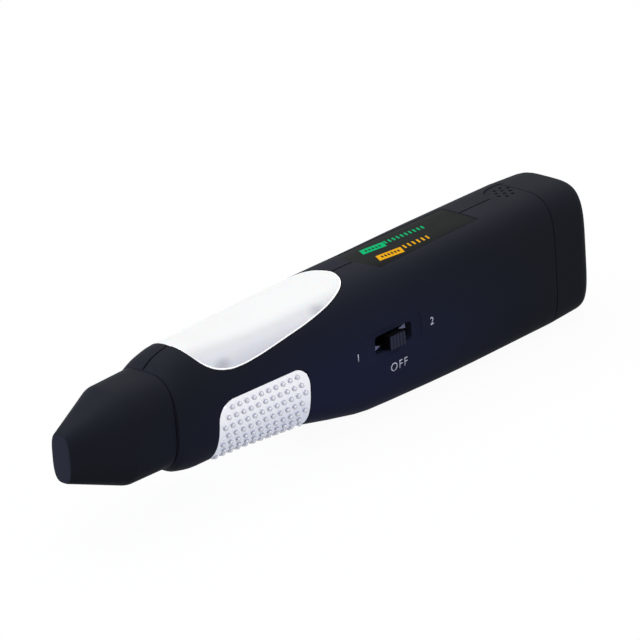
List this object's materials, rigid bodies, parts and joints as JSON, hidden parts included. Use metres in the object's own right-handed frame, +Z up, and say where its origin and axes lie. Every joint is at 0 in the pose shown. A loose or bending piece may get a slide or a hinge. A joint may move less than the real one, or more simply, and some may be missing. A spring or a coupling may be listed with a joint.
{
  "type": "diamond tester",
  "caption": "Pen-shaped gemstone tester with a sprung heated probe under a pull-off cap, a slide switch, a light window, a touch plate under the grip and a battery tail cover.",
  "frame": {"origin": "under the middle of the whole tester, on the surface that it lies on", "axes": "+X from the nose to the tail, -Y towards the side with the switch, +Z up from the flat underside"},
  "size_m": [0.159, 0.0252, 0.0333],
  "materials": {
    "soft_black": "soft-touch near-black with a slight blue cast",
    "window_white": "milky, translucent, fine satin",
    "satin_silver": "satin plated",
    "label_grey": "printed film, dark grey with a green cast",
    "knob_black": "moulded, ribbed",
    "gloss_black": "moulded",
    "ceramic_white": "fired, fine matt",
    "copper": "polished copper",
    "brass": "stamped brass",
    "spring_steel": "drawn and plated",
    "board_green": "solder mask",
    "amber_lens": "clear tinted",
    "green_lens": "clear tinted",
    "violet_lens": "clear tinted",
    "battery_can": "printed metal can",
    "lead_red": "insulated wire",
    "lead_black": "insulated wire",
    "trimmer_blue": "moulded"
  },
  "bodies": {
    "casing": {"near_shell": "soft_black", "far_shell": "soft_black", "light_window": "window_white", "touch_plate": "satin_silver", "label_plate": "label_grey", "nose_cone": "gloss_black", "probe_sleeve": "ceramic_white", "spring_plug": "gloss_black", "probe_lead": "lead_red", "probe_spring": "spring_steel", "ultraviolet_lamp": "violet_lens", "main_board": "board_green", "switch_body": "spring_steel", "amber_led": "amber_lens", "green_led": "green_lens", "control_chip": "gloss_black", "capacitor": "gloss_black", "trimmer": "trimmer_blue", "plate_contact": "brass", "buzzer_disc": "brass", "battery": "battery_can", "battery_snap": "gloss_black", "red_lead": "lead_red", "black_lead": "lead_black", "screw_nose": "spring_steel", "screw_belly": "spring_steel", "screw_top": "spring_steel"},
    "cap": {"nose_cap": "soft_black"},
    "cover": {"battery_cover": "soft_black"},
    "switch": {"switch_knob": "knob_black"},
    "probe": {"probe_pin": "copper", "heating_element": "ceramic_white"}
  },
  "joints": [
    {"name": "cap_slide", "type": "slide", "parent": "casing", "child": "cap", "axis": [-1, 0, 0], "range_m": [0, 0.04]},
    {"name": "cover_slide", "type": "slide", "parent": "casing", "child": "cover", "axis": [1, 0, 0], "range_m": [0, 0.025]},
    {"name": "switch_slide", "type": "slide", "parent": "casing", "child": "switch", "axis": [1, 0, 0], "range_m": [-0.0026, 0.0026]},
    {"name": "probe_slide", "type": "slide", "parent": "casing", "child": "probe", "axis": [1, 0, 0], "range_m": [0, 0.0015], "stiffness_N_per_m": 400, "deforming": ["probe_spring"]}
  ]
}
